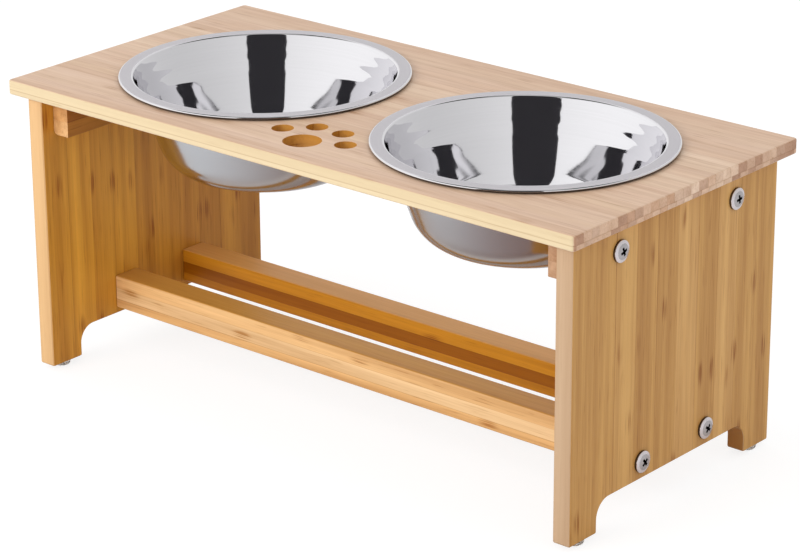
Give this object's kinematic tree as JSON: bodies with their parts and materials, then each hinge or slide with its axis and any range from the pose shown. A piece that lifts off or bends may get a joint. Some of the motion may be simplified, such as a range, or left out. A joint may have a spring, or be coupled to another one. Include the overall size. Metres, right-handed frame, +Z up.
{
  "type": "dog feeder stand",
  "caption": "Raised bamboo feeder stand: a flat top on arched side panels holds flat-rimmed steel bowls that lift out, with a paw of drilled holes at its front edge.",
  "frame": {"origin": "on the floor under the middle of the top", "axes": "+X along the top's length, +Y to the back (the paw holes are at the front, -Y), +Z up"},
  "size_m": [0.4, 0.195, 0.1783],
  "materials": {
    "bamboo_top": "satin lacquer",
    "bamboo_panel": "satin lacquer",
    "bamboo_bar": "satin lacquer",
    "bowl_steel": "mirror inside, satin outside",
    "nickel_plate": "satin nickel plate",
    "zinc_plate": "zinc plate",
    "silicone": "clear, slightly milky"
  },
  "bodies": {
    "stand": {"top_panel": "bamboo_top", "left_panel": "bamboo_panel", "right_panel": "bamboo_panel", "left_batten": "bamboo_bar", "right_batten": "bamboo_bar", "front_rail": "bamboo_bar", "rear_rail": "bamboo_bar", "left_upper_bolts": "nickel_plate", "left_lower_bolts": "nickel_plate", "right_upper_bolts": "nickel_plate", "right_lower_bolts": "nickel_plate", "left_batten_inserts": "zinc_plate", "right_batten_inserts": "zinc_plate", "front_rail_inserts": "zinc_plate", "rear_rail_inserts": "zinc_plate", "left_batten_screws": "zinc_plate", "right_batten_screws": "zinc_plate", "left_front_pad": "silicone", "left_rear_pad": "silicone", "right_front_pad": "silicone", "right_rear_pad": "silicone"},
    "left_bowl_body": {"left_bowl": "bowl_steel"},
    "right_bowl_body": {"right_bowl": "bowl_steel"}
  },
  "joints": [
    {"name": "left_bowl_lift", "type": "slide", "parent": "stand", "child": "left_bowl_body", "axis": [0, 0, 1], "range_m": [0, 0.06]},
    {"name": "right_bowl_lift", "type": "slide", "parent": "stand", "child": "right_bowl_body", "axis": [0, 0, 1], "range_m": [0, 0.06]}
  ]
}
